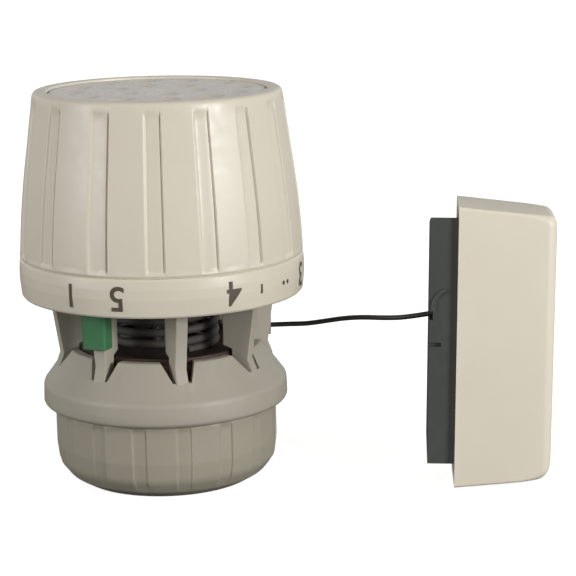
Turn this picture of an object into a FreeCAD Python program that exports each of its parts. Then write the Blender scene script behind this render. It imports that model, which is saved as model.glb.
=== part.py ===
"""Thermostatic radiator head with a remote sensor box, as a parametric FreeCAD document.

The head stands on its union nut: Z is the head's axis, Z = 0 the nut's lower face.  The sensor box
stands beside it towards +X, joined by a thin capillary tube.  Lengths are in millimetres.
"""
import FreeCAD, Part
import os
import re
from math import cos, pi, tan

import Sketcher
from FreeCAD import Placement, Rotation, Vector

DRIVING = {
    # union nut and its snap ring
    "thread_radius": 14.19, "thread_length": 9, "nut_foot_radius": 18.2, "nut_radius": 23.05,
    "nut_top": 15.9, "nut_belly": 6.1, "nut_round": 6.3, "nut_lip_radius": 12.9,
    "nut_lip_bottom": 12.2, "snap_ring_radius": 15.3,
    # cage: base with its petals, struts and the ring on top of them
    "neck_radius": 12.5, "neck_bore_radius": 9, "neck_bottom": 9.6, "base_bottom": 16.2,
    "base_floor": 18.4, "shoulder_radius": 25.3, "shoulder_top": 20.8, "petal_radius": 19.8,
    "petal_top": 28.2, "petal_wall": 1.5, "strut_count": 8, "strut_azimuth": -77,
    "strut_width": 2.5, "strut_rake": 10.8, "strut_outer": 22.3, "strut_inner": 16,
    "cage_top": 40.4, "top_ring_radius": 26.4, "collar_radius": 18, "collar_bore": 16.2,
    "collar_top": 50.6,
    # dial
    "dial_bottom": 39.4, "dial_radius": 29.3, "dial_bore": 27.3, "scale_top": 47.2,
    "cap_shoulder_radius": 29.1, "cap_rim_radius": 24.6, "cap_top": 81, "disc_radius": 22.4,
    "disc_bottom": 79.4, "dish_count": 12, "dish_radius": 2.3, "dish_circle": 17.2,
    "web_bottom": 42.7, "web_top": 44.9, "sleeve_radius": 15, "sleeve_bore": 13.3,
    "sleeve_bottom": 46.5, "sleeve_top": 79.4, "slot_width": 2.8, "slot_height": 13,
    # setting mechanism and bellows
    "nut_seat_radius": 12.8, "nut_seat_bottom": 49.4, "nut_seat_height": 5, "lug_width": 2.2,
    "lug_reach": 14.4, "spring_radius": 10.6, "spring_wire": 0.85, "spring_turns": 8.5,
    "spring_gap": 0.05,
    "can_radius": 17.2, "can_lid_top": 28, "can_rim_top": 28.7, "bellows_outer": 13,
    "bellows_inner": 9, "bellows_folds": 4, "plate_bottom": 22.6, "plate_top": 23.4,
    "spindle_radius": 2.5, "spindle_bottom": 14.4, "spindle_top": 57, "foot_radius": 6,
    "foot_bottom": 12.2, "bush_bore": 2.56,
    # limiter clips
    "clip_width": 5.2, "clip_bottom": 31.3, "clip_top": 39, "clip_face": 24.4, "clip_cheek": 1.4, "clip_wall": 0.9,
    # capillary
    "tube_radius": 0.52,
    # gland that leads the capillary out of the cage
    "gland_inner": 18.6, "gland_near": 5, "gland_side": 1.4, "gland_half_height": 1.5,
    # sensor box; it stands slightly turned and leaning beside the head
    "box_yaw": -2, "box_lean": 1, "plate_back": 54.5, "box_split": 60, "box_front": 79.7,
    "box_near": -15.2, "box_width": 15, "box_foot": 0.15, "box_height": 58.3, "box_draft": 1.9,
    "cover_wall": 1.4, "plate_near": -14, "plate_width": 13, "plate_low": 5,
    "plate_height": 51, "plate_slope": 3, "box_centre": 30.45, "core_half_length": 15.6,
    "coil_band": 2.6, "coil_half_width": 5.6, "coil_front": 65, "screw_radius": 1.7,
    "screw_spacing": 40.4, "hook_spacing": 46, "hook_reach": 8, "bulb_radius": 4.6,
    "bulb_centre": 72.1, "bulb_low": 9, "bulb_length": 42,
}

# Centre line of the free capillary, from the head's gland to the sensor's wall plate.
CAPILLARY_ROUTE = [
    (22.0, 7.6, 29.57), (25.6, 7.3, 29.75), (29.4, 5.6, 30.15), (33.2, 2.7, 31.3),
    (36.9, -0.8, 32.65), (41.0, -4.6, 33.75), (45.6, -8.6, 34.4), (50.2, -11.3, 35.1),
    (55.2, -12.0, 36.1),
]
# Centre line of the capillary inside the head, from the bellows lid out to the gland.
LEAD_ROUTE = [(12.6, 8.6, 28.0), (12.6, 8.6, 29.57), (16.6, 7.6, 29.57), (22.0, 7.6, 29.57)]

doc = FreeCAD.newDocument("thermostatic_head")
sheet = doc.addObject("Spreadsheet::Sheet", "Sizes")
for row, (alias, value) in enumerate(DRIVING.items(), start=1):
    sheet.set(f"A{row}", alias)
    sheet.set(f"B{row}", str(value))
    sheet.setAlias(f"B{row}", alias)
doc.recompute()


def bound(text):
    """Point every sheet alias named in an expression at the spreadsheet."""
    return re.sub(r"[a-z]+(?:_[a-z]+)+", lambda word: "Sizes." + word.group(0)
                  if word.group(0) in DRIVING else word.group(0), str(text))


def size(text):
    """Value of an expression in the sheet's aliases."""
    return float(FreeCAD.Units.Quantity(doc.Sizes.evalExpression(bound(text))).Value) \
        if not isinstance(text, (int, float)) else float(text)


# ---- sketches and bodies ----------------------------------------------------------------------

def plane_of(body, role):
    return next(f for f in body.Origin.OriginFeatures if f.Role == role)


def new_sketch(body, name, role="XZ_Plane", offset=None):
    sketch = body.newObject("Sketcher::SketchObject", name)
    sketch.AttachmentSupport = [(plane_of(body, role), "")]
    sketch.MapMode = "FlatFace"
    if offset is not None:
        sketch.AttachmentOffset = offset
    return sketch


def constrain(sketch, index, point, across, up):
    """Tie one end of a sketch edge to the sheet, measured from the sketch's origin."""
    for kind, text in (("DistanceX", across), ("DistanceY", up)):
        value = size(text)
        if abs(value) < 1e-9:
            on_axis = -2 if kind == "DistanceX" else -1
            sketch.addConstraint(Sketcher.Constraint("PointOnObject", index, point, on_axis))
            continue
        number = sketch.addConstraint(Sketcher.Constraint(kind, -1, 1, index, point, value))
        sketch.setExpression(f"Constraints[{number}]", bound(text))


def outline(sketch, points):
    """Closed outline.  Each point is (across, up) or (across, up, radius): with a radius, the edge
    that ends at this point is an arc, bulging to the right of the direction of travel if positive."""
    count = len(points)
    first = sketch.GeometryCount
    for k in range(count):
        here, there = points[k], points[(k + 1) % count]
        a = Vector(size(here[0]), size(here[1]), 0)
        b = Vector(size(there[0]), size(there[1]), 0)
        if len(there) == 2:
            sketch.addGeometry(Part.LineSegment(a, b), False)
            continue
        radius = abs(size(there[2]))
        along = (b - a).normalize()
        right = Vector(along.y, -along.x, 0) * (1 if size(there[2]) > 0 else -1)
        half = (b - a).Length / 2
        rise = radius - (radius ** 2 - half ** 2) ** 0.5
        sketch.addGeometry(Part.Arc(a, (a + b) / 2 + right * rise, b), False)
    for k in range(count):
        edge, after = first + k, first + (k + 1) % count
        here, there = points[k], points[(k + 1) % count]
        curved, next_curved = len(there) == 3, len(points[(k + 2) % count]) == 3
        end = arc_end(sketch, edge, there) if curved else 2
        start = 3 - arc_end(sketch, after, points[(k + 2) % count]) if next_curved else 1
        sketch.addConstraint(Sketcher.Constraint("Coincident", edge, end, after, start))
        constrain(sketch, edge, end, there[0], there[1])
        if curved:
            number = sketch.addConstraint(
                Sketcher.Constraint("Radius", edge, abs(size(there[2]))))
            sketch.setExpression(f"Constraints[{number}]", bound(str(there[2]).lstrip("-")))


def arc_end(sketch, edge, target):
    """Which end of a sketch arc, 1 or 2, lies on the target point."""
    arc = sketch.Geometry[edge]
    goal = Vector(size(target[0]), size(target[1]), 0)
    return 1 if arc.StartPoint.distanceToPoint(goal) < arc.EndPoint.distanceToPoint(goal) else 2


def circle(sketch, across, up, radius):
    edge = sketch.addGeometry(
        Part.Circle(Vector(size(across), size(up), 0), Vector(0, 0, 1), size(radius)), False)
    constrain(sketch, edge, 3, across, up)
    number = sketch.addConstraint(Sketcher.Constraint("Radius", edge, size(radius)))
    sketch.setExpression(f"Constraints[{number}]", bound(radius))


def new_body(name, label=None):
    body = doc.addObject("PartDesign::Body", name)
    body.Label = label or name
    return body


def lathe(body, points, name="section"):
    """Revolve an outline given as (radius, height) points about the Z axis."""
    sketch = new_sketch(body, f"{body.Name}_{name}")
    outline(sketch, points)
    turned = body.newObject("PartDesign::Revolution", f"{body.Name}_turned")
    turned.Profile = sketch
    turned.ReferenceAxis = (sketch, ["V_Axis"])
    turned.Angle = 360
    return tip(body, turned)


def tip(body, feature):
    for hidden in body.Group:
        hidden.Visibility = False
    body.Tip = feature
    doc.recompute()
    return feature


def extrude(body, kind, sketch, length, midplane=False, backwards=False):
    before = body.Shape.Volume if body.Tip else 0
    feature = body.newObject(f"PartDesign::{kind}", f"{sketch.Name}_{kind.lower()}")
    feature.Profile = sketch
    feature.Length = size(length)
    feature.setExpression("Length", bound(length))
    feature.Midplane = midplane
    feature.Reversed = backwards
    tip(body, feature)
    if kind == "Pocket" and body.Shape.Volume > before - 1e-3:
        raise SystemExit(f"{feature.Name} cuts nothing")
    return feature


def repeat(body, feature, count):
    """Polar pattern of a feature about the body's Z axis."""
    pattern = body.newObject("PartDesign::PolarPattern", f"{feature.Name}_pattern")
    pattern.Originals = [feature]
    pattern.Axis = (plane_of(body, "Z_Axis"), [""])
    pattern.Angle = 360
    pattern.Occurrences = int(size(count))
    pattern.setExpression("Occurrences", bound(count))
    return tip(body, pattern)


# ---- plain solids and booleans ----------------------------------------------------------------

def bind(thing, **sizes):
    for name, text in sizes.items():
        thing.setExpression(name.replace("_", "."), bound(text))
    return thing


def rod(name, radius, low, high, across="0 * tube_radius", back="0 * tube_radius"):
    """Upright cylinder between two heights."""
    thing = bind(doc.addObject("Part::Cylinder", name), Radius=radius, Height=f"{high} - ({low})")
    return bind(thing, Placement_Base_x=across, Placement_Base_y=back, Placement_Base_z=low)


def cross_rod(name, radius, start, end, back, height):
    """Cylinder lying along X between two stations."""
    thing = bind(doc.addObject("Part::Cylinder", name), Radius=radius, Height=f"{end} - ({start})")
    thing.Placement = Placement(Vector(), Rotation(Vector(0, 1, 0), 90))
    return bind(thing, Placement_Base_x=start, Placement_Base_y=back, Placement_Base_z=height)


def block(name, low, high):
    """Box between two corners, each given as three expressions."""
    thing = doc.addObject("Part::Box", name)
    for side, a, b in zip(("Length", "Width", "Height"), low, high):
        bind(thing, **{side: f"{b} - ({a})"})
    for axis, a in zip("xyz", low):
        bind(thing, **{f"Placement_Base_{axis}": a})
    return thing


def cut(name, base, tool):
    thing = doc.addObject("Part::Cut", name)
    thing.Base, thing.Tool = base, tool
    thing.Label = name
    return thing


def fuse(name, *shapes):
    thing = doc.addObject("Part::MultiFuse", name)
    thing.Shapes = list(shapes)
    thing.Label = name
    return thing


# ---- union nut and cage -----------------------------------------------------------------------

def union_nut():
    body = new_body("union_nut")
    lathe(body, [
        ("thread_radius", "0"), ("nut_foot_radius", "0"), ("nut_radius", "nut_belly", "nut_round"),
        ("nut_radius", "nut_top - 0.5"), ("nut_radius - 0.5", "nut_top"),
        ("nut_lip_radius", "nut_top"), ("nut_lip_radius", "nut_lip_bottom"),
        ("snap_ring_radius + 0.3", "nut_lip_bottom"), ("snap_ring_radius + 0.3", "thread_length"),
        ("thread_radius", "thread_length"),
    ])
    return body


def nut_snap_ring():
    outer = rod("snap_ring_outer", "snap_ring_radius", "neck_bottom + 0.4", "nut_lip_bottom - 0.2")
    inner = rod("snap_ring_inner", "neck_radius", "neck_bottom", "nut_lip_bottom")
    return cut("nut_snap_ring", outer, inner)


def turn_to_strut(thing):
    """The cage is drawn with its first strut on the X axis, then turned to where it stands."""
    thing.setExpression("Placement.Rotation.Angle", bound("strut_azimuth"))
    return thing


def cage_struts():
    """Eight raked blades; each stands on the base's floor and carries the ring above."""
    body = new_body("cage_struts")
    body.AllowCompound = True
    rake = Rotation(Vector(0, 1, 0), size("strut_rake"))
    pivot = Vector(size("strut_outer"), 0, 0)
    sketch = new_sketch(body, "blade", offset=Placement(pivot - rake.multVec(pivot), rake))
    outline(sketch, [
        ("strut_inner + 1.9", "base_floor"), ("strut_outer + 0.2", "base_floor"),
        ("strut_outer + 0.2", "petal_top - 3.6"), ("strut_outer - 0.8", "petal_top - 1"),
        ("strut_outer + 0.5", "cage_top - 4.4"), ("strut_outer + 1", "cage_top"),
        ("strut_inner", "cage_top"), ("strut_inner", "petal_top + 1.5"),
        ("strut_inner + 1.9", "petal_top + 0.8"),
    ])
    blade = extrude(body, "Pad", sketch, "strut_width", midplane=True)
    repeat(body, blade, "strut_count")
    return body


def cage_base(struts):
    """Shoulder ring whose cone is split into petals by a notch at each strut's foot."""
    body = new_body("cage_shell")
    lathe(body, [
        ("neck_bore_radius", "neck_bottom"), ("neck_radius", "neck_bottom"),
        ("neck_radius", "base_bottom"), ("shoulder_radius - 0.8", "base_bottom"),
        ("shoulder_radius + 0.1", "base_bottom + 1", "1.2"),
        ("shoulder_radius", "shoulder_top - 0.8"),
        ("shoulder_radius - 0.6", "shoulder_top + 0.7", "2"),
        ("petal_radius + 0.3", "petal_top - 0.4"), ("petal_radius - 0.2", "petal_top", "0.6"),
        ("petal_radius - petal_wall", "petal_top"),
        ("shoulder_radius - 2.1", "shoulder_top"), ("shoulder_radius - 2.1", "base_floor"),
        ("neck_bore_radius", "base_floor"),
    ])
    notch = new_sketch(body, "notch", role="YZ_Plane")
    outline(notch, [
        ("0 - 1.9", "petal_top - 3.6"), ("1.9", "petal_top - 3.6"),
        ("3.1", "petal_top + 1"), ("0 - 4.4", "petal_top + 1"),
    ])
    slot = extrude(body, "Pocket", notch, "shoulder_radius + 2", backwards=True)
    repeat(body, slot, "strut_count")
    return cut("cage_base", body, struts)


def cage_top_ring():
    """Ring on the struts with the collar that the dial turns on; a groove takes the dial clip."""
    body = new_body("cage_top_ring")
    lathe(body, [
        ("collar_bore", "cage_top"), ("top_ring_radius", "cage_top"),
        ("top_ring_radius", "cage_top + 2"), ("collar_radius", "cage_top + 2"),
        ("collar_radius", "collar_top - 2.6"), ("collar_radius - 0.8", "collar_top - 2.6"),
        ("collar_radius - 0.8", "collar_top - 1.6"), ("collar_radius", "collar_top - 1.6"),
        ("collar_radius", "collar_top - 0.4"), ("collar_radius - 0.4", "collar_top"),
        ("collar_bore", "collar_top"),
    ])
    return body


def dial_clip():
    """Open circlip in the collar's groove; it keeps the dial from lifting off."""
    outer = rod("clip_outer", "collar_radius + 2.2", "collar_top - 2.55", "collar_top - 1.65")
    inner = rod("clip_inner", "collar_radius - 0.8", "collar_top - 3", "collar_top")
    gap = block("clip_gap", ("0 - collar_radius * 2", "0 - 2", "collar_top - 3"),
                ("0 - collar_radius * 0.5", "0 + 2", "collar_top"))
    return cut("dial_circlip", cut("clip_round", outer, inner), gap)


# ---- bellows, spindle and setting nut ---------------------------------------------------------

def pin_guide_bush():
    body = new_body("pin_guide_bush")
    lathe(body, [
        ("bush_bore", "base_bottom - 1"), ("foot_radius - 0.8", "base_bottom - 1"),
        ("foot_radius - 0.8", "base_bottom"), ("neck_bore_radius", "base_bottom"),
        ("neck_bore_radius", "base_floor"), ("bush_bore", "base_floor"),
    ])
    return body


def bellows_can():
    body = new_body("bellows_can")
    lathe(body, [
        ("spindle_radius + 0.9", "base_floor"), ("can_radius", "base_floor"),
        ("can_radius", "can_lid_top - 0.8"), ("can_radius - 0.8", "can_lid_top - 0.8"),
        ("can_radius - 0.8", "base_floor + 0.8"), ("spindle_radius + 0.9", "base_floor + 0.8"),
    ])
    return body


def bellows_lid():
    """Lid crimped on the can; its raised rim shows above the petals, and the spring stands on it."""
    body = new_body("bellows_lid")
    lathe(body, [
        ("spindle_radius + 0.9", "can_lid_top - 0.8"), ("can_radius + 0.4", "can_lid_top - 0.8"),
        ("can_radius + 0.4", "can_rim_top - 0.2"), ("can_radius + 0.1", "can_rim_top", "0.4"),
        ("can_radius - 0.8", "can_rim_top"), ("can_radius - 1", "can_lid_top"),
        ("spindle_radius + 0.9", "can_lid_top"),
    ])
    return body


def bellows():
    """Corrugated metal bellows between the lid and the moving plate: a zigzag wall, revolved."""
    body = new_body("bellows")
    folds = int(size("bellows_folds"))
    pitch = f"(can_lid_top - 0.8 - plate_top) / {2 * folds}"
    levels = range(2 * folds + 1)
    skin = "0.25"
    wall = [("bellows_inner" if k % 2 else "bellows_outer", f"plate_top + {k} * {pitch}")
            for k in levels]
    outer = [(f"{across} + {skin}", up) for across, up in wall]
    lathe(body, outer + wall[::-1])
    return body


def moving_plate():
    outer = rod("plate_disc", "bellows_outer + 0.3", "plate_bottom", "plate_top")
    inner = rod("plate_hole", "spindle_radius", "plate_bottom - 1", "plate_top + 1")
    return cut("bellows_end_plate", outer, inner)


def spindle():
    """Steel spindle from the pressure foot up through the spring and the setting nut."""
    body = new_body("spindle")
    lathe(body, [
        ("0", "spindle_bottom"), ("spindle_radius", "spindle_bottom"),
        ("spindle_radius", "spindle_top - 0.5"), ("spindle_radius - 0.5", "spindle_top"),
        ("0", "spindle_top"),
    ])
    return body


def pressure_foot():
    """Domed foot on the spindle's lower end; it presses the valve's pin."""
    body = new_body("pressure_foot")
    lathe(body, [
        ("0", "foot_bottom"), ("foot_radius - 2", "foot_bottom"),
        ("foot_radius", "foot_bottom + 1.2", "2.4"), ("foot_radius", "foot_bottom + 2.2"),
        ("0", "foot_bottom + 2.2"),
    ])
    return body


def setting_nut():
    """Round nut that turns with the dial and climbs the spindle; two lugs run in the sleeve."""
    top = "nut_seat_bottom + nut_seat_height"
    barrel = rod("nut_barrel", "nut_seat_radius", "nut_seat_bottom", top)
    lugs = block("nut_lugs", ("0 - lug_reach", "0 - lug_width / 2", "nut_seat_bottom + 0.4"),
                 ("lug_reach", "lug_width / 2", f"{top} - 0.4"))
    hole = rod("nut_hole", "spindle_radius + 0.3", "nut_seat_bottom - 1", f"{top} + 1")
    return cut("setting_nut", fuse("nut_solid", barrel, lugs), hole)


def setting_spring():
    """Coil spring of round wire between the bellows lid and the setting nut."""
    body = new_body("setting_spring")
    section = new_sketch(body, "wire")
    circle(section, "spring_radius", "can_lid_top + spring_wire + spring_gap", "spring_wire")
    coil = body.newObject("PartDesign::AdditiveHelix", "coil")
    coil.Profile = section
    coil.ReferenceAxis = (section, ["V_Axis"])
    coil.Mode = "height-turns-angle"
    coil.Height = size("nut_seat_bottom - can_lid_top - 2 * (spring_wire + spring_gap)")
    coil.setExpression(
        "Height", bound("nut_seat_bottom - can_lid_top - 2 * (spring_wire + spring_gap)"))
    coil.Turns = size("spring_turns")
    coil.setExpression("Turns", bound("spring_turns"))
    tip(body, coil)
    return body


# ---- dial -------------------------------------------------------------------------------------

def dial_cap():
    """Tapered shell of the dial, open below, with a ledge for the top disc."""
    body = new_body("dial_cap")
    lathe(body, [
        ("dial_bore", "scale_top"), ("cap_shoulder_radius - 0.25", "scale_top"),
        ("cap_shoulder_radius", "scale_top + 0.5"), ("cap_shoulder_radius", "scale_top + 1.8"),
        ("cap_shoulder_radius - 2.1", "scale_top + 21.8", "200"),
        ("cap_rim_radius + 1", "cap_top - 1.8"), ("cap_rim_radius - 0.6", "cap_top", "1.8"),
        ("disc_radius", "cap_top"), ("disc_radius", "disc_bottom"),
        ("disc_radius - 1.2", "disc_bottom"), ("disc_radius - 1.2", "disc_bottom - 1.2"),
        ("cap_rim_radius - 1.2", "disc_bottom - 1.2"), ("dial_bore - 2.1", "scale_top + 21.8"),
        ("dial_bore", "scale_top + 1.8"),
    ])
    return body


def scale_ring():
    """Band below the cap's groove; it carries the scale."""
    body = new_body("scale_ring")
    lathe(body, [
        ("dial_bore", "dial_bottom"), ("dial_radius - 0.6", "dial_bottom"),
        ("dial_radius - 0.3", "dial_bottom + 0.4"), ("dial_radius", "dial_bottom + 3.6"),
        ("dial_radius", "dial_bottom + 5.6"), ("dial_radius - 0.2", "scale_top - 0.3"),
        ("dial_radius - 0.5", "scale_top"), ("dial_bore", "scale_top"),
    ])
    return body


def dial_top_disc():
    """Inset top with a ring of round finger dishes."""
    body = new_body("dial_top_disc")
    lathe(body, [
        ("0", "disc_bottom"), ("disc_radius", "disc_bottom"), ("disc_radius", "cap_top - 0.8"),
        ("disc_radius - 0.5", "cap_top - 0.3"), ("0", "cap_top - 0.3"),
    ])
    dish = new_sketch(body, "dish", role="XY_Plane",
                      offset=Placement(Vector(0, 0, size("cap_top")), Rotation()))
    dish.setExpression("AttachmentOffset.Base.z", bound("cap_top"))
    circle(dish, "dish_circle", "0", "dish_radius")
    hollow = extrude(body, "Pocket", dish, "0.9")
    repeat(body, hollow, "dish_count")
    return body


def dial_web():
    """Web inside the dial; its hub runs on the cage's collar."""
    body = new_body("dial_web")
    lathe(body, [
        ("collar_radius + 0.08", "web_bottom"), ("dial_bore", "web_bottom"),
        ("dial_bore", "web_top"), ("collar_radius + 1.6", "web_top"),
        ("collar_radius + 1.6", "collar_top - 2.8"), ("collar_radius + 0.08", "collar_top - 2.8"),
    ])
    return body


def drive_sleeve():
    """Sleeve under the dial's top; two slots drive the setting nut and let it climb."""
    outer = rod("sleeve_outer", "sleeve_radius", "sleeve_bottom", "sleeve_top")
    inner = rod("sleeve_inner", "sleeve_bore", "sleeve_bottom - 1", "sleeve_top - 2")
    slot = block("sleeve_slot",
                 ("0 - sleeve_radius - 1", "0 - slot_width / 2", "sleeve_bottom - 1"),
                 ("sleeve_radius + 1", "slot_width / 2", "sleeve_bottom + slot_height"))
    return cut("drive_sleeve", cut("sleeve_tube", outer, inner), slot)


# ---- limiter clips ----------------------------------------------------------------------------

def limiter_clip(name, strut):
    """Saddle clip pushed on a strut from outside; it pulls off along the blade."""
    body = new_body(name)
    rake = Rotation(Vector(0, 0, 1), size("strut_rake"))
    pivot = Vector(size("strut_outer"), 0, 0)
    turn = Rotation(Vector(0, 0, 1), size("strut_azimuth") + strut * 360 / size("strut_count"))
    section = new_sketch(body, f"{name}_section", role="XY_Plane")
    section.AttachmentOffset = Placement(Vector(0, 0, size("clip_bottom")), Rotation())
    section.setExpression("AttachmentOffset.Base.z", bound("clip_bottom"))
    inside = "strut_width / 2 + 0.1"
    outline(section, [
        ("strut_outer - clip_cheek", "0 - clip_width / 2"), ("clip_face - 0.8", "0 - clip_width / 2"),
        ("clip_face", "0 - clip_width / 2 + 0.8", "0.8"), ("clip_face", "clip_width / 2 - 0.8"),
        ("clip_face - 0.8", "clip_width / 2", "0.8"), ("strut_outer - clip_cheek", "clip_width / 2"),
        ("strut_outer - clip_cheek", inside), ("clip_face - clip_wall", inside),
        ("clip_face - clip_wall", f"0 - ({inside})"), ("strut_outer - clip_cheek", f"0 - ({inside})"),
    ])
    extrude(body, "Pad", section, "clip_top - clip_bottom")
    body.Placement = Placement(Vector(), turn).multiply(
        Placement(pivot - rake.multVec(pivot), rake))
    return body


# ---- capillary --------------------------------------------------------------------------------

def tube_path(points):
    """Straight runs joined by tangent arcs; each arc is as large as its two runs allow."""
    points = [Vector(*p) for p in points]
    edges, radii, start = [], [], points[0]
    for before, corner, after in zip(points, points[1:], points[2:]):
        towards, away = (corner - before), (after - corner)
        reach = 0.45 * min(towards.Length, away.Length)
        towards.normalize()
        away.normalize()
        turn = towards.getAngle(away)
        radii.append(reach / tan(turn / 2))
        first, last = corner - towards * reach, corner + away * reach
        inward = (away - towards).normalize()
        middle = corner + inward * radii[-1] * (1 / cos(turn / 2) - 1)
        edges += [Part.LineSegment(start, first).toShape(), Part.Arc(first, middle, last).toShape()]
        start = last
    edges.append(Part.LineSegment(start, points[-1]).toShape())
    return Part.Wire(edges), radii


def tube(name, points):
    """Capillary tube along a route; its volume is compared with section times length."""
    path, radii = tube_path(points)
    direction = Vector(*points[1]) - Vector(*points[0])
    ring = Part.Wire(Part.makeCircle(size("tube_radius"), Vector(*points[0]), direction))
    thing = doc.addObject("Part::Feature", name)
    thing.Shape = path.makePipeShell([ring], True, False)
    expected = pi * size("tube_radius") ** 2 * path.Length
    print(f"{name}: length {path.Length:.2f}, volume {thing.Shape.Volume:.3f} for {expected:.3f}, "
          f"radii {[round(r, 1) for r in radii]}")
    return thing


def capillary_gland(struts):
    """Block on the flank of a strut that leads the capillary out of the cage."""
    middle = CAPILLARY_ROUTE[0]
    blank = block(
        "gland_blank", ("gland_inner", "gland_near", f"{middle[2]} - gland_half_height"),
        (f"{middle[0]}", f"{middle[1]} + gland_side", f"{middle[2]} + gland_half_height"))
    hole = cross_rod("gland_hole", "tube_radius", "gland_inner - 1", f"{middle[0]} + 1",
                     f"{middle[1]}", f"{middle[2]}")
    return cut("capillary_gland", cut("gland_fitted", blank, struts), hole)


# ---- sensor box -------------------------------------------------------------------------------

BOX_MIDDLE = "box_near + box_width / 2"


def racetrack(body, name, half_width, half_length, length, low):
    """Upright racetrack prism in the plate's Y-Z plane, standing out towards +X."""
    sketch = new_sketch(body, name, role="YZ_Plane")
    sketch.AttachmentOffset = Placement(Vector(0, 0, size(low)), Rotation())
    sketch.setExpression("AttachmentOffset.Base.z", bound(low))
    side_low = f"box_centre - {half_length} + {half_width}"
    side_high = f"box_centre + {half_length} - ({half_width})"
    near, far = f"{BOX_MIDDLE} - ({half_width})", f"{BOX_MIDDLE} + {half_width}"
    round_end = f"{half_width} + 0.0001"
    outline(sketch, [(near, side_low), (far, side_low, round_end), (far, side_high),
                     (near, side_high, round_end)])
    return extrude(body, "Pad", sketch, length)


def stood(thing):
    """The box's parts are drawn upright, then turned together about the capillary's entry."""
    label, thing.Label = thing.Label, f"{thing.Label}_upright"
    placed = doc.addObject("Part::Compound", f"{thing.Name}_stood")
    placed.Links = [thing]
    pivot = "; ".join(str(value) for value in CAPILLARY_ROUTE[-1])
    placed.setExpression("Placement", bound(
        "create(<<placement>>; create(<<vector>>; 0; 0; 0); "
        f"create(<<rotation>>; box_yaw; box_lean; 0); create(<<vector>>; {pivot}))"))
    placed.Label = label
    return placed


def sensor_wall_plate():
    """Wall plate: a drawn block with a winding core in front and two snap hooks."""
    back, front = "plate_back", "box_split"
    slab = new_body("plate_slab")
    far, high = "plate_near + plate_width", "plate_low + plate_height"
    ends = new_sketch(slab, "plate_ends", role="YZ_Plane")
    ends.AttachmentOffset = Placement(Vector(0, 0, size(back)), Rotation())
    ends.setExpression("AttachmentOffset.Base.z", bound(back))
    outline(ends, [("plate_near", "plate_low"), (far, "plate_low + plate_slope"),
                   (far, f"{high} - plate_slope"), ("plate_near", high)])
    extrude(slab, "Pad", ends, f"{front} - {back}")
    core = new_body("winding_core")
    racetrack(core, "core_outline", "coil_half_width - coil_band", "core_half_length",
              "coil_front + 0.4 - box_split + 1", "box_split - 1")
    hooks = []
    for side, sign in (("upper", "+"), ("lower", "-")):
        arm = f"box_centre {sign} hook_spacing / 2"
        hooks.append(block(f"hook_{side}", (f"{front} - 1", f"{BOX_MIDDLE} - 2", f"{arm} - 0.7"),
                           (f"{front} + hook_reach", f"{BOX_MIDDLE} + 2", f"{arm} + 0.7")))
    solid = fuse("plate_solid", slab, core, *hooks)
    for side, sign in (("upper", "+"), ("lower", "-")):
        hole = cross_rod(f"screw_hole_{side}", "screw_radius", f"{back} - 1", f"{front} + 2",
                         BOX_MIDDLE, f"box_centre {sign} screw_spacing / 2")
        solid = cut(f"plate_drilled_{side}", solid, hole)
    end = CAPILLARY_ROUTE[-1]
    inlet = cross_rod("inlet_hole", "tube_radius", f"{back} - 1", f"{front} + 0.5",
                      f"{end[1]}", f"{end[2]}")
    notch = block("plate_notch", (f"{back} - 1", "plate_near - 1", "box_centre - 0.9"),
                  (f"{back} + 2.4", "plate_near + 1", "box_centre - 0.1"))
    channel = block("plate_channel", (f"{back} - 1", "plate_near - 1", f"{end[2]} - 1.1"),
                    (f"{end[0]}", f"{end[1]} + 1.1", f"{end[2]} + 1.1"))
    return cut("sensor_wall_plate", cut("plate_with_inlet", solid, inlet),
               fuse("plate_recesses", notch, channel))


def capillary_inlet():
    """The capillary's last stretch, through the wall plate to the winding."""
    end = CAPILLARY_ROUTE[-1]
    inner = cross_rod("inlet_core", "tube_radius", f"{end[0]}", "box_split + 0.6",
                      f"{end[1]}", f"{end[2]}")
    inner.Label = "capillary_inlet"
    return inner


def capillary_reserve():
    """Spare capillary wound on the plate's core: the outer shape of the whole winding."""
    outer = new_body("winding_outer")
    racetrack(outer, "winding_outline", "coil_half_width", "core_half_length + coil_band",
              "coil_front - box_split - 0.6", "box_split + 0.6")
    inner = new_body("winding_inner")
    racetrack(inner, "winding_hole", "coil_half_width - coil_band", "core_half_length",
              "coil_front - box_split + 2", "box_split - 0.5")
    return cut("capillary_reserve", outer, inner)


def sensor_bulb():
    """Liquid-filled sensing bulb: a cylinder with rounded ends."""
    body = new_body("sensor_bulb")
    high = "bulb_low + bulb_length"
    lathe(body, [
        ("0", "bulb_low"), ("bulb_radius - 1.5", "bulb_low"),
        ("bulb_radius", "bulb_low + 1.5", "1.5"), ("bulb_radius", f"{high} - 1.5"),
        ("bulb_radius - 1.5", high, "1.5"), ("0", high),
    ])
    bind(body, Placement_Base_x="bulb_centre", Placement_Base_y=BOX_MIDDLE)
    return body


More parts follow.
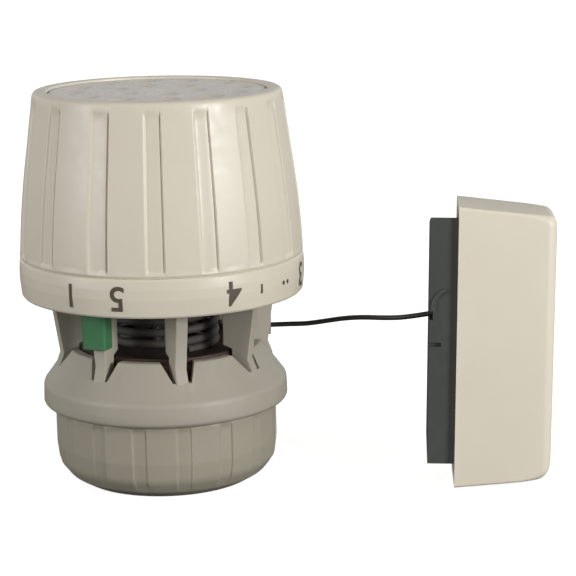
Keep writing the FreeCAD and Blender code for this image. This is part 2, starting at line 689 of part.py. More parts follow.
def bulb_clips():
    """Two spring clips that hold the bulb in front of the winding core."""
    clips = []
    for level in ("lower", "upper"):
        low = "box_centre " + ("- 14" if level == "lower" else "+ 10")
        outer = rod(f"clip_ring_{level}", "bulb_radius + 1", low, f"{low} + 4", "bulb_centre",
                    BOX_MIDDLE)
        stem = block(f"clip_stem_{level}",
                     ("coil_front + 0.4", f"{BOX_MIDDLE} - 1.5", low),
                     ("bulb_centre - bulb_radius", f"{BOX_MIDDLE} + 1.5", f"{low} + 4"))
        inner = rod(f"clip_bore_{level}", "bulb_radius + 0.02", f"{low} - 1", f"{low} + 5",
                    "bulb_centre", BOX_MIDDLE)
        mouth = block(f"clip_mouth_{level}",
                      ("bulb_centre + 2.5", f"{BOX_MIDDLE} - 6", f"{low} - 1"),
                      ("bulb_centre + 7", f"{BOX_MIDDLE} + 6", f"{low} + 5"))
        ring = cut(f"clip_open_{level}", fuse(f"clip_whole_{level}", outer, stem), inner)
        clips.append(cut(f"clip_{level}", ring, mouth))
    return fuse("bulb_clips", *clips)


def bulb_lead():
    """Short capillary from the winding to the bulb."""
    lead = cross_rod("bulb_lead_rod", "tube_radius", "coil_front",
                     "bulb_centre - bulb_radius", BOX_MIDDLE, "box_centre - core_half_length - 1.3")
    lead.Label = "bulb_lead"
    return lead


def sensor_cover():
    """Drafted cover, open towards the wall plate, with rounded front edges."""
    body = new_body("sensor_cover")
    top, back, front = "box_height", "box_split + 0.05", "box_front"
    side = new_sketch(body, "cover_side")
    side.AttachmentOffset = Placement(Vector(0, 0, -size(BOX_MIDDLE)), Rotation())
    side.setExpression("AttachmentOffset.Base.z", bound(f"0 - ({BOX_MIDDLE})"))
    outline(side, [
        (back, "box_foot"), (f"{front} - 2.8", "box_foot + box_draft * 0.85"),
        (front, "box_foot + box_draft + 2.5", "2.9"),
        (front, f"{top} - box_draft - 1.6"), (f"{front} - 1.8", f"{top} - box_draft * 0.9", "1.9"),
        (back, top),
    ])
    extrude(body, "Pad", side, "box_width", midplane=True)
    hollow = new_sketch(body, "cover_hollow")
    hollow.AttachmentOffset = side.AttachmentOffset
    hollow.setExpression("AttachmentOffset.Base.z", bound(f"0 - ({BOX_MIDDLE})"))
    wall = "cover_wall"
    outline(hollow, [
        (f"{back} - 1", f"box_foot + {wall}"),
        (f"{front} - 3", f"box_foot + box_draft * 0.85 + {wall}"),
        (f"{front} - {wall}", f"box_foot + box_draft + 3", "1.9"),
        (f"{front} - {wall}", f"{top} - box_draft - 2.3"),
        (f"{front} - 2.5", f"{top} - box_draft * 0.9 - {wall}", "1.2"),
        (f"{back} - 1", f"{top} - {wall}"),
    ])
    extrude(body, "Pocket", hollow, "box_width - 2 * cover_wall", midplane=True)
    return body


# ---- the assembly -----------------------------------------------------------------------------

struts = turn_to_strut(cage_struts())
base = cage_base(struts)
turn_to_strut(base.Base)
green, red = limiter_clip("limiter_clip_green", -1), limiter_clip("limiter_clip_red", 3)
SUBPARTS = [
    union_nut(), nut_snap_ring(), base, struts, cage_top_ring(), dial_clip(), pin_guide_bush(),
    bellows_can(), bellows_lid(), bellows(), moving_plate(), spindle(), pressure_foot(),
    setting_nut(), setting_spring(), dial_cap(), scale_ring(), dial_top_disc(), dial_web(),
    drive_sleeve(), green, red, tube("capillary_lead", LEAD_ROUTE), capillary_gland(struts),
    tube("capillary_free", CAPILLARY_ROUTE),
] + [stood(thing) for thing in (
    sensor_wall_plate(), capillary_inlet(), capillary_reserve(), sensor_bulb(), bulb_clips(),
    bulb_lead(), sensor_cover())]
doc.recompute()

for thing in doc.Objects:
    if "Invalid" in thing.State or "Error" in thing.State:
        raise SystemExit(f"{thing.Name} failed: {thing.State}")
for part in SUBPARTS:
    if part.Shape.isNull() or not part.Shape.isValid():
        raise SystemExit(f"{part.Label} has no valid shape")

os.makedirs("parts", exist_ok=True)
for part in SUBPARTS:
    part.Shape.exportStep(f"parts/{part.Label}.step")
print(f"{len(SUBPARTS)} sub-parts written")
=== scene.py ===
"""Looks of the thermostatic radiator head and its remote sensor box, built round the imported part.

The builders below take millimetres and degrees in the part's own frame: Z is the head's axis and
Z = 0 the floor.  An azimuth is measured about that axis from -Y, where the camera is, towards +X.
"""
from math import atan2, cos, pi, radians, sin, sqrt, tan

import bmesh
import bpy
from mathutils import Matrix, Vector


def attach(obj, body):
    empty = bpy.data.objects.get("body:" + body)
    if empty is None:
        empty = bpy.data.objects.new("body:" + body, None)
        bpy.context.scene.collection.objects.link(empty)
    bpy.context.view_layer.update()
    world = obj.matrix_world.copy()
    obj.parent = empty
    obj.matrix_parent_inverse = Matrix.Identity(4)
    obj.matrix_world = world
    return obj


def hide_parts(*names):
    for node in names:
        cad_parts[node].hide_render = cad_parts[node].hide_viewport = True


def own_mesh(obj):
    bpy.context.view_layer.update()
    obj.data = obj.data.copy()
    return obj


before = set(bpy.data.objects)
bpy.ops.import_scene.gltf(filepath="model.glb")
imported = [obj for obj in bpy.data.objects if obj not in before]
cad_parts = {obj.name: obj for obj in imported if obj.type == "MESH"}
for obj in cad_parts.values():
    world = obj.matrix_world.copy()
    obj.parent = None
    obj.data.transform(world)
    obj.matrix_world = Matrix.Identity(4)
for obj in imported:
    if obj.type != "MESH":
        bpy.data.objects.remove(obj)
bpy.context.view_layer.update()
MM = 0.001

# ---- camera -----------------------------------------------------------------------------------

CAMERA_PLACE = (0.0323, -0.4056, 0.1252)      # metres, in front of the head and above it
CAMERA_DOWN, CAMERA_ROLL = 12.0, -0.774       # degrees

camera_data = bpy.data.cameras.new("photo_camera")
camera_data.sensor_width = 36
camera_data.lens = 124.9
camera_data.shift_x = -0.0538
camera_data.clip_start, camera_data.clip_end = 0.01, 20
camera = bpy.data.objects.new("photo_camera", camera_data)
camera.matrix_world = (Matrix.Translation(CAMERA_PLACE)
                       @ Matrix.Rotation(radians(90 - CAMERA_DOWN), 4, "X")
                       @ Matrix.Rotation(radians(CAMERA_ROLL), 4, "Z"))
bpy.context.scene.collection.objects.link(camera)
bpy.context.scene.camera = camera


# ---- materials --------------------------------------------------------------------------------

LATHE = (0.12, 0.12, 1)       # scale of turned metal's grain: long round the axis, fine along it


def linear(colour):
    """An sRGB colour, 0 to 255, as the linear colour a shader takes."""
    parts = [c / 255 for c in colour]
    return [p / 12.92 if p <= 0.04045 else ((p + 0.055) / 1.055) ** 2.4 for p in parts] + [1]


def link(tree, source, target):
    tree.links.new(source, target)


def noise(tree, where, scale, detail=3, rough=0.5):
    node = tree.nodes.new("ShaderNodeTexNoise")
    node.inputs["Scale"].default_value = scale
    node.inputs["Detail"].default_value = detail
    node.inputs["Roughness"].default_value = rough
    link(tree, where, node.inputs["Vector"])
    return node.outputs["Fac"]


def spread(tree, value, low, high, start=0.3, end=0.7):
    """Map a texture's middle range onto low to high."""
    node = tree.nodes.new("ShaderNodeMapRange")
    for name, number in (("From Min", start), ("From Max", end), ("To Min", low), ("To Max", high)):
        node.inputs[name].default_value = number
    link(tree, value, node.inputs["Value"])
    return node.outputs["Result"]


def mixed(tree, factor, first, second):
    node = tree.nodes.new("ShaderNodeMix")
    node.data_type = "RGBA"
    link(tree, factor, node.inputs["Factor"])
    for socket, colour in ((node.inputs[6], first), (node.inputs[7], second)):
        if isinstance(colour, bpy.types.NodeSocket):
            link(tree, colour, socket)
        else:
            socket.default_value = colour
    return node.outputs[2]


def shaded(colour, gain):
    return [min(1, c * gain) for c in colour[:3]] + [1]


def new_material(name):
    material = bpy.data.materials.new(name)
    material.use_nodes = True
    tree = material.node_tree
    where = tree.nodes.new("ShaderNodeTexCoord").outputs["Object"]
    return material, tree, tree.nodes["Principled BSDF"], where


def relief(tree, shader, height, depth, strength):
    bump = tree.nodes.new("ShaderNodeBump")
    bump.inputs["Strength"].default_value = strength
    bump.inputs["Distance"].default_value = depth
    link(tree, height, bump.inputs["Height"])
    link(tree, bump.outputs["Normal"], shader.inputs["Normal"])


def moulded(name, colour, roughness=0.42, grain=0.25, drift=0.035, hollow_shade=0.0):
    """Injection-moulded plastic: slow colour drift, a painted highlight on sharp edges, painted
    shade in hollows, a fine spark-eroded grain.
    """
    material, tree, shader, where = new_material(name)
    base = linear(colour)
    slow = spread(tree, noise(tree, where, 55), 0, 1)
    tone = mixed(tree, slow, shaded(base, 1 - drift), shaded(base, 1 + drift))
    specks = spread(tree, noise(tree, where, 900, 4, 0.7), 0, 0.16, 0.62, 0.75)
    tone = mixed(tree, specks, tone, shaded(base, 0.72))
    edges = tree.nodes.new("ShaderNodeNewGeometry").outputs["Pointiness"]
    # Painted highlight: sharp outer edges, where pointiness is high, are lightened by up to 16 % of
    # the colour.
    tone = mixed(tree, spread(tree, edges, 0, 0.5, 0.52, 0.62), tone, shaded(base, 1.16))
    # Painted shade: hollows and creases, where pointiness is low, are darkened towards 62 % of the
    # colour; the last argument makes this stronger.
    hollows = spread(tree, edges, 0.35 + hollow_shade, 0, 0.36, 0.48)
    tone = mixed(tree, hollows, tone, shaded(base, 0.62))
    link(tree, tone, shader.inputs["Base Color"])
    link(tree, spread(tree, noise(tree, where, 420, 3), roughness - 0.06, roughness + 0.08),
         shader.inputs["Roughness"])
    shader.inputs["IOR"].default_value = 1.49
    relief(tree, shader, noise(tree, where, 3200, 2), 0.00004, grain)
    return material


def metal(name, colour, roughness):
    """Turned metal: the grain is drawn out round the axis."""
    material, tree, shader, where = new_material(name)
    base = linear(colour)
    mapping = tree.nodes.new("ShaderNodeMapping")
    mapping.inputs["Scale"].default_value = LATHE
    link(tree, where, mapping.inputs["Vector"])
    grain = noise(tree, mapping.outputs["Vector"], 900, 3)
    patches = spread(tree, noise(tree, where, 160), 0, 1)
    link(tree, mixed(tree, patches, shaded(base, 0.86), shaded(base, 1.08)),
         shader.inputs["Base Color"])
    link(tree, spread(tree, grain, roughness - 0.07, roughness + 0.1), shader.inputs["Roughness"])
    shader.inputs["Metallic"].default_value = 1
    relief(tree, shader, grain, 0.00003, 0.25)
    return material


MATERIALS = {
    "dial_plastic": moulded("dial_cream_plastic", (214, 206, 188), 0.34, 0.12, 0.02),
    "disc": moulded("dial_top_plastic", (212, 204, 192), 0.3, 0.16, 0.025),
    "cover_plastic": moulded("cover_cream_plastic", (225, 216, 197), 0.44, 0.22, 0.02),
    # The cage, nut and plate plastics take stronger painted shade in their hollows (their last
    # argument).
    "cage_plastic": moulded("cage_grey_plastic", (165, 159, 144), 0.5, 0.3, 0.03, 0.1),
    "nut_plastic": moulded("nut_grey_plastic", (157, 151, 134), 0.48, 0.32, 0.035, 0.1),
    "plate_plastic": moulded("plate_charcoal_plastic", (68, 70, 67), 0.5, 0.35, 0.05, 0.1),
    "dark_plastic": moulded("inner_black_plastic", (58, 57, 55), 0.45, 0.3, 0.05),
    "green_plastic": moulded("clip_green_plastic", (60, 112, 74), 0.36, 0.15, 0.03),
    "red_plastic": moulded("clip_red_plastic", (168, 38, 32), 0.36, 0.15, 0.03),
    "ink": moulded("scale_ink", (82, 74, 62), 0.6, 0.2, 0.06),
    "capillary": moulded("capillary_black_jacket", (40, 39, 38), 0.38, 0.3, 0.06),
    "black_spring": moulded("spring_blackened_steel", (66, 62, 58), 0.7, 0.2, 0.06),
    "spring_steel": metal("clip_spring_steel", (168, 168, 166), 0.3),
    "steel": metal("turned_steel", (176, 176, 174), 0.26),
    "brass": metal("turned_brass", (188, 156, 92), 0.3),
    "copper_alloy": metal("bulb_copper_alloy", (190, 124, 88), 0.34),
    "can": metal("bellows_can_bronze", (138, 116, 96), 0.5),
    "lid": metal("bellows_lid_browned", (92, 78, 70), 0.58),
}


# ---- mesh builders ----------------------------------------------------------------------------

def piece(name, verts, faces, body, slot, material=None, replaces=(), crease=32):
    """A mesh in millimetres as a piece that rides on a body."""
    mesh = bpy.data.meshes.new(name)
    mesh.from_pydata([[c * MM for c in v] for v in verts], [], faces)
    bm = bmesh.new()
    bm.from_mesh(mesh)
    bmesh.ops.remove_doubles(bm, verts=bm.verts, dist=2e-7)
    bmesh.ops.recalc_face_normals(bm, faces=bm.faces)
    bm.to_mesh(mesh)
    bm.free()
    mesh.shade_smooth()
    mesh.set_sharp_from_angle(angle=radians(crease))
    mesh.materials.append(MATERIALS[material or slot])
    thing = bpy.data.objects.new(name, mesh)
    bpy.context.scene.collection.objects.link(thing)
    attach(thing, body)
    if replaces:
        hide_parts(*replaces)
    return thing


def rounded(corners, steps=4):
    """Closed outline through (a, b[, fillet]) corners, with each fillet drawn as a short arc."""
    line = []
    for k, corner in enumerate(corners):
        here = Vector(corner[:2])
        if len(corner) == 2:
            line.append(tuple(here))
            continue
        back = Vector(corners[k - 1][:2]) - here
        ahead = Vector(corners[(k + 1) % len(corners)][:2]) - here
        half = back.angle(ahead) / 2
        reach = min(corner[2] / tan(half), 0.49 * back.length, 0.49 * ahead.length)
        radius = reach * tan(half)
        back, ahead = back.normalized(), ahead.normalized()
        centre = here + (back + ahead).normalized() * radius / sin(half)
        first, last = here + back * reach - centre, here + ahead * reach - centre
        start = atan2(first.y, first.x)
        sweep = (atan2(last.y, last.x) - start + pi) % (2 * pi) - pi
        line += [(centre.x + radius * cos(start + sweep * s / steps),
                  centre.y + radius * sin(start + sweep * s / steps)) for s in range(steps + 1)]
    return line


def at(azimuth, radius, height):
    return (radius * sin(radians(azimuth)), -radius * cos(radians(azimuth)), height)


def turned(outline, azimuths, shape=None):
    """Solid of revolution of a (radius, height) outline; shape moves a point at an azimuth."""
    angles = azimuths
    if isinstance(azimuths, int):
        angles = [360 * k / azimuths for k in range(azimuths)]
    verts, rows, faces = [], [], []
    for radius, height in outline:
        if radius < 1e-6:
            rows.append([len(verts)] * len(angles))
            verts.append((0, 0, height))
            continue
        rows.append(list(range(len(verts), len(verts) + len(angles))))
        verts += [at(a, *(shape(a, radius, height) if shape else (radius, height)))
                  for a in angles]
    for k, low in enumerate(rows):
        high = rows[(k + 1) % len(rows)]
        for i in range(len(angles)):
            j = (i + 1) % len(angles)
            corners = list(dict.fromkeys([low[i], low[j], high[j], high[i]]))
            if len(corners) > 2:
                faces.append(corners)
    return verts, faces


def swept(points, radius, sides=14, closed=False):
    """Round tube along points; its section is carried without twist from point to point."""
    points = [Vector(p) for p in points]
    count = len(points)
    verts, faces, across = [], [], None
    for k, here in enumerate(points):
        if closed:
            along = points[(k + 1) % count] - points[k - 1]
        else:
            along = points[min(k + 1, count - 1)] - points[max(k - 1, 0)]
        along.normalize()
        if across is None:
            across = along.orthogonal()
        across = (across - along * across.dot(along)).normalized()
        up = along.cross(across)
        verts += [here + across * radius * cos(2 * pi * s / sides)
                  + up * radius * sin(2 * pi * s / sides) for s in range(sides)]
    for k in range(count if closed else count - 1):
        a, b = k * sides, (k + 1) % count * sides
        faces += [[a + s, a + (s + 1) % sides, b + (s + 1) % sides, b + s] for s in range(sides)]
    if not closed:
        faces += [list(range(sides))[::-1], list(range((count - 1) * sides, count * sides))]
    return verts, faces


def softened(node, width, body, slot):
    """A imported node's shape rebuilt with its sharp edges rounded, standing for that node."""
    bm = bmesh.new()
    bm.from_mesh(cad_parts[node].data)
    bmesh.ops.remove_doubles(bm, verts=bm.verts, dist=2e-6)
    bmesh.ops.dissolve_limit(bm, angle_limit=radians(0.6), verts=bm.verts, edges=bm.edges)
    bm.verts.ensure_lookup_table()
    verts = [v.co / MM for v in bm.verts]
    faces = [[v.index for v in f.verts] for f in bm.faces]
    bm.free()
    thing = piece(f"{node}_soft", verts, faces, body, slot, replaces=[node])
    soft = thing.modifiers.new("soft_edges", "BEVEL")
    soft.width = width * MM
    soft.segments = 2
    soft.limit_method = "ANGLE"
    soft.angle_limit = radians(30)
    soft.use_clamp_overlap = True
    soft.harden_normals = True


def ease(value, start, end):
    """0 before start, 1 after end, smooth between."""
    share = min(1, max(0, (value - start) / (end - start)))
    return share * share * (3 - 2 * share)


# ---- dial -------------------------------------------------------------------------------------

PITCH = 22.5                  # one flute, in degrees
STEP, CREASE = 0.5, 15.0      # where a flute's edge ends and its groove begins
DIAL_FLUTE, DIAL_SLIT = 0.42, 0.24
FLUTE_STATIONS = (0, 0.14, 0.36, 0.5, 1.6, 3.6, 5.7, 7.75, 9.8, 12, 13.7, 14.6, 15, 15.3, 15.6,
                  15.9, 16.2, 16.5, 17.6, 18.8, 20, 21.2, 21.95, 22.1, 22.3, 22.42)
DIAL_STEPS = [-43.5, -17.2, 5.3, 26.4, 46.8, 68.2] + [90.4 + 22.6 * k for k in range(10)]
NUT_STEPS = [16 + PITCH * k for k in range(16)]


def within(azimuth, steps):
    """Where an azimuth lies in its flute, 0 to PITCH; the dial's flutes aren't quite even."""
    ends = steps + [steps[0] + 360]
    azimuth = (azimuth - steps[0] + 1e-7) % 360 + steps[0] - 1e-7
    k = max(i for i in range(len(steps)) if ends[i] <= azimuth + 1e-6)
    return max(0, azimuth - ends[k]) / (ends[k + 1] - ends[k]) * PITCH


def flute(azimuth, steps, depth, radius, crack=0):
    """How far a point lies below the full radius: a flattened land, then a groove and a step up."""
    u = within(azimuth, steps)
    if u < STEP:
        return depth * 0.7 * (1 - u / STEP)
    middle, half = (STEP + CREASE) / 2, (CREASE - STEP) / 2
    if u < CREASE:
        return radius * (1 - cos(radians(half)) / cos(radians(u - middle))) * 0.6
    slit = crack * (ease(u, 21.95, 22.1) - ease(u, 22.3, PITCH))
    return depth * ease(u, CREASE, CREASE + 1.4) * (1 - 0.3 * ease(u, 18, 21.9)) + slit


def fluted_azimuths(steps):
    ends = steps + [steps[0] + 360]
    return [start + (end - start) * u / PITCH for start, end in zip(ends, ends[1:])
            for u in FLUTE_STATIONS]


def cap_shape(azimuth, radius, height):
    """The flutes run out below the top edge and above the scale ring."""
    if radius < 24.3 or radius < 28.2 and height < 48.5:
        return radius, height
    outer = ease(radius, 24.3, 25.2)
    reach = ease(height, 47.9, 48.7) * (1 - ease(height, 78.3, 79.3)) * outer
    return radius - flute(azimuth, DIAL_STEPS, DIAL_FLUTE, radius, DIAL_SLIT) * reach, height


def dial_cap():
    shares = [k / 24 for k in range(1, 25)]
    flank = [(29.1 - 2.1 * share + 0.25 * 4 * share * (1 - share), 49 + 20 * share)
             for share in shares]
    upper = [(27 - 1.4 * k / 8, 69 + 10.2 * k / 8) for k in range(1, 8)]
    wall = [(27.3, 47.2), (28.85, 47.2, 0.15), (29.1, 47.75, 0.2), (29.1, 48.2), (29.1, 48.6),
            (29.1, 49)] + flank + upper + [
        (25.6, 78.9), (25.5, 79.4), (25.2, 81, 1.5), (22.42, 81, 0.25), (22.42, 79.4),
        (21.2, 79.4), (21.2, 78.2), (23.4, 78.2)]
    inside = [(25.2, 69), (27.3, 49)]
    verts, faces = turned(rounded(wall, 5) + inside, fluted_azimuths(DIAL_STEPS),
                          lambda a, r, z: cap_shape(a, r, z) if r > 25.3 or z > 79 else (r, z))
    piece("dial_cap_fluted", verts, faces, "dial", "dial_plastic", replaces=["dial_cap"],
          crease=28)


def scale_ring():
    outline = rounded([
        (27.3, 39.4), (28.7, 39.4, 0.25), (29.0, 39.8, 0.4), (29.3, 43, 3), (29.3, 45, 2),
        (29.15, 46.9, 0.3), (28.8, 47.2, 0.2), (27.3, 47.2)], 5)
    piece("scale_ring_soft", *turned(outline, 192), "dial", "dial_plastic",
          replaces=["scale_ring"])


def dish(x, y, centre, radius, depth):
    """Depth of a round finger dish, at a point of the top."""
    away = sqrt((x - centre[0]) ** 2 + (y - centre[1]) ** 2) / radius
    return depth * (1 - ease(away, 0.15, 1.08))


def top_disc():
    """Inset top: a shallow dome with twelve outer and six inner dishes, as a polar grid."""
    dishes = [(at(30 * k + 12, 17.2, 0)[:2], 2.7, 1.0) for k in range(12)]
    dishes += [(at(60 * k + 20, 8.2, 0)[:2], 2.4, 0.75) for k in range(6)]
    radii = [0.35 * k for k in range(1, 63)] + [21.9, 22.1, 22.25, 22.35]

    def shape(azimuth, radius, height):
        if height < 80:
            return radius, height
        x, y, _ = at(azimuth, radius, 0)
        low = max(dish(x, y, *d) for d in dishes)
        rim = 0.45 * ease(radius, 21.75, 22.35)
        return radius, 80.72 - 0.12 * (radius / 22) ** 2 - low - rim

    outline = [(0, 80.72)] + [(r, 80.72) for r in radii] + [(22.35, 79.45), (0, 79.45)]
    piece("dial_top_disc_dished", *turned(outline, 288, shape), "dial", "dial_plastic",
          "disc", ["dial_top_disc"], crease=50)


RING_RADIUS, PRINT_HEIGHT = 29.3, 43.35
DIGIT_SIZE, DIGIT_WEIGHT = 6.9, 0.09


def scale_marks():
    """The printed scale: upside-down digits and small index marks wrapped round the ring."""
    digits = [("5", -13.4), ("4", 32.5), ("3", 77.5), ("2", 123.5), ("1", 169.5)]
    bars = [(-33.5, 0.8, 4.7), (45.9, 0.55, 1.9)]
    dots = [(59.5, 0.45), (62.5, 0.45), (100.5, 0.45), (146.5, 0.45), (192.5, 0.45)]
    verts, faces = [], []

    def wrap(azimuth, flat, cells):
        start = len(verts)
        for a, b in flat:
            height = PRINT_HEIGHT - b
            radius = 29.33 - 0.1 * ease(abs(height - 44), 1.2, 2.6)
            verts.append(at(azimuth - a / RING_RADIUS * 180 / pi, radius, height))
        faces.extend([start + i for i in cell] for cell in cells)

    for digit, azimuth in digits:
        text = bpy.data.curves.new("digit", "FONT")
        text.body, text.size, text.offset = digit, DIGIT_SIZE, DIGIT_WEIGHT
        text.align_x, text.align_y = "CENTER", "CENTER"
        holder = bpy.data.objects.new("digit", text)
        mesh = bpy.data.meshes.new_from_object(holder)
        bm = bmesh.new()
        bm.from_mesh(mesh)
        bmesh.ops.triangulate(bm, faces=bm.faces)
        bmesh.ops.subdivide_edges(bm, edges=bm.edges, cuts=3, use_grid_fill=True)
        bm.verts.index_update()
        middle = (min(v.co.y for v in bm.verts) + max(v.co.y for v in bm.verts)) / 2
        wrap(azimuth, [(v.co.x, v.co.y - middle) for v in bm.verts],
             [[v.index for v in f.verts] for f in bm.faces])
        bm.free()
        bpy.data.objects.remove(holder)
        bpy.data.curves.remove(text)
        bpy.data.meshes.remove(mesh)
    for azimuth, width, length in bars:
        grid = [(width * (i / 3 - 0.5), length * (j / 4 - 0.5)) for j in range(5) for i in range(4)]
        wrap(azimuth, grid, [[j * 4 + i, j * 4 + i + 1, j * 4 + i + 5, j * 4 + i + 4]
                             for j in range(4) for i in range(3)])
    for azimuth, radius in dots:
        ring = [(radius * cos(pi * k / 8), radius * sin(pi * k / 8)) for k in range(16)]
        wrap(azimuth, ring, [list(range(16))])
    for k in range(6):
        reach = Vector((cos(pi * k / 3), sin(pi * k / 3)))
        side = Vector((-reach.y, reach.x)) * 0.28
        wrap(215.5, [side * s + reach * r for r in (0.3, 1.2, 2.3) for s in (-1, 1)],
             [[0, 1, 3, 2], [2, 3, 5, 4]])
    piece("scale_marks", verts, faces, "dial", "dial_plastic", "ink")


# ---- union nut and cage -----------------------------------------------------------------------

NUT_FLUTE, NUT_RADIUS = 0.3, 23.05
THREAD_PITCH, THREAD_LINE, THREAD_VALLEY = 1.5, 14.5, 14.95


def union_nut():
    belly = rounded([(14.3, 0), (17.9, 0, 1.0), (20.6, 1.6, 3.2), (22.6, 4.1, 3.6),
                     (NUT_RADIUS, 8, 4), (NUT_RADIUS, 15.5)], 6)[1:-1]
    flank = [(NUT_RADIUS, 9 + 0.75 * k) for k in range(8)] + [(NUT_RADIUS, 15), (NUT_RADIUS, 15.3)]
    shoulder = [(22.95, 15.6), (22.75, 15.82), (22.5, 15.9), (12.9, 15.9), (12.9, 12.2),
                (15.6, 12.2), (15.6, 9), (14.9, 9)]
    thread = [(THREAD_LINE, 8.6 - 0.15 * k) for k in range(54)]
    outline = belly + flank + shoulder + thread + [(14.9, 0.35)]

    def shape(azimuth, radius, height):
        if radius == THREAD_LINE:
            turn = (height / THREAD_PITCH - azimuth / 360) % 1
            crest = 14.25 + 0.72 * abs(2 * turn - 1) * 1.15
            fade = ease(height, 0.6, 1.2) * (1 - ease(height, 8.0, 8.6))
            return THREAD_VALLEY + (crest - THREAD_VALLEY) * fade, height
        if radius < 17.5:
            return radius, height
        reach = ease(height, 0.9, 4.2) * (1 - ease(height, 15, 15.6)) * ease(radius, 19.5, 22)
        return radius - flute(azimuth, NUT_STEPS, NUT_FLUTE, radius) * reach, height

    piece("union_nut_ribbed", *turned(outline, fluted_azimuths(NUT_STEPS), shape), "nut",
          "nut_plastic", replaces=["union_nut"], crease=30)


def spring():
    """Coil of round wire with closed, ground ends."""
    points, turns, closed = [], 9.2, 0.9
    low, high, wire = 28.05, 49.35, 0.85
    climb = high - low - wire
    for k in range(int(turns * 48) + 1):
        turn = k / 48
        if turn < closed:
            rise = 2 * wire * turn
        elif turn > turns - closed:
            rise = climb - 2 * wire * (turns - turn)
        else:
            slope = (climb - 4 * wire * closed) / (turns - 2 * closed)
            rise = 2 * wire * closed + slope * (turn - closed)
        points.append(at(360 * turn + 30, 10.6, low + wire / 2 + rise))
    verts, faces = swept(points, wire, 16)
    verts = [(v.x, v.y, min(high, max(low, v.z))) for v in verts]
    thing = piece("setting_spring_coil", verts, faces, "frame", "black_spring",
                  replaces=["setting_spring"], crease=60)
    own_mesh(thing)


# ---- sensor box -------------------------------------------------------------------------------

BOX_BACK, BOX_FRONT, BOX_LOW, BOX_TOP, BOX_DRAFT = 60.05, 79.7, 0.15, 58.3, 1.88
BOX_NEAR, BOX_FAR = -15.2, -0.2
ROUND_TOP, ROUND_LOW, ROUND_SIDE = 1.8, 2.8, 2.0      # how the front's edges are rounded
BOX_PIVOT = Vector((55.2, -12.0, 36.1))
BOX_TURN = Matrix.Rotation(radians(-2), 3, "Z") @ Matrix.Rotation(radians(1), 3, "Y")


def stood(verts):
    """The box is drawn upright, then turned about the capillary's entry as the part is."""
    return [BOX_PIVOT + BOX_TURN @ (Vector(v) - BOX_PIVOT) for v in verts]


def ring_of(x, low, high, near, far, radius, steps=6):
    """Rounded rectangle at station x, as points counted round the box."""
    points = []
    for y, z, start in ((far - radius, high - radius, 0), (near + radius, high - radius, 90),
                        (near + radius, low + radius, 180), (far - radius, low + radius, 270)):
        points += [(x, y + radius * cos(radians(start + 90 * s / steps)),
                    z + radius * sin(radians(start + 90 * s / steps))) for s in range(steps + 1)]
    return points


def edge_inset(x, front, radius):
    """How far a face has turned in at station x, where it rounds over into the front."""
    into = x - (front - radius)
    return radius - sqrt(max(0, radius ** 2 - into ** 2)) if into > 0 else 0


def box_sections(stations, back, front, wall):
    """Sections of the drafted box; wall moves them inwards for the inside."""
    sections = []
    for x in stations:
        drop = BOX_DRAFT * (x - back) / (BOX_FRONT - back)
        share = drop / BOX_DRAFT
        top = BOX_TOP - drop - wall - edge_inset(x, front, max(0.6, ROUND_TOP - wall))
        low = BOX_LOW + drop + wall + edge_inset(x, front, max(0.8, ROUND_LOW - wall))
        side = wall + edge_inset(x, front, max(0.6, ROUND_SIDE - wall))
        near, far = BOX_NEAR + 0.5 * share + side, BOX_FAR - 0.5 * share - side
        sections.append(ring_of(x, low, top, near, far,
                                max(0.3, 0.6 + 1.3 * ease(x, 74, 79) - wall)))
    return sections


def sensor_cover():
    """Cover: drafted outside skin, a wall's thickness, and the hollow that faces the wall plate."""
    back, front, wall = BOX_BACK, BOX_FRONT, 1.4
    outside = [back, back + 0.2, 63, 67, 71, 74, 76, 76.7]
    outside += [76.7 + 3 * sin(radians(6 * k)) for k in range(1, 15)] + [front - 0.004]
    inner_front = front - wall
    inside = [back, back + 0.2, 65, 71, 75]
    inside += [75.3 + 3 * sin(radians(9 * k)) for k in range(1, 10)] + [inner_front - 0.004]
    skins = [box_sections(outside, back, front, 0), box_sections(inside, back, inner_front, wall)]
    verts, faces = [], []
    for skin in skins:
        start, count = len(verts), len(skin[0])
        for section in skin:
            verts += section
        for k in range(len(skin) - 1):
            a, b = start + k * count, start + (k + 1) * count
            faces += [[a + i, a + (i + 1) % count, b + (i + 1) % count, b + i]
                      for i in range(count)]
        faces.append(list(range(len(verts) - count, len(verts))))
    count = len(skins[0][0])
    inner = len(skins[0]) * count
    faces += [[i, (i + 1) % count, inner + (i + 1) % count, inner + i] for i in range(count)]
    piece("sensor_cover_shell", stood(verts), faces, "cover", "cover_plastic",
          replaces=["sensor_cover"], crease=24)


CORE_ACROSS, CORE_HEIGHT, CORE_REACH = -7.7, 30.45, 12.6
FIRST_TURN, FIRST_ROW = 61.15, 3.56
TURN_PITCH, ROW_PITCH = 1.05, 1.04


def winding():
    """The spare capillary: eight racetrack turns, two deep and four along the core."""
    verts, faces = [], []
    for layer in range(4):
        for row in range(2):
            radius, x = FIRST_ROW + ROW_PITCH * row, FIRST_TURN + TURN_PITCH * layer
            points = []
            for side, start in ((1, 0), (-1, 180)):
                points += [(x, CORE_ACROSS + radius * cos(radians(start + 7.5 * s)),
                            CORE_HEIGHT + side * CORE_REACH + radius * sin(radians(start + 7.5 * s)))
                           for s in range(25)]
            more, cells = swept(points, 0.5, 10, closed=True)
            cells = [[i + len(verts) for i in cell] for cell in cells]
            verts += more
            faces += cells
    piece("capillary_winding", stood(verts), faces, "frame", "capillary",
          replaces=["capillary_reserve"], crease=60)


def cable_guide():
    """Curved moulded rib on the wall plate's side, above the capillary's entry."""
    arc = [(58.4 - 3.3 * cos(radians(6 * k)), -14.0, 36.9 + 4.4 * sin(radians(6 * k)))
           for k in range(14)]
    verts, faces = swept(arc, 0.55, 12)
    piece("plate_cable_guide", stood(verts), faces, "frame", "plate_plastic", crease=50)


# ---- capillary --------------------------------------------------------------------------------

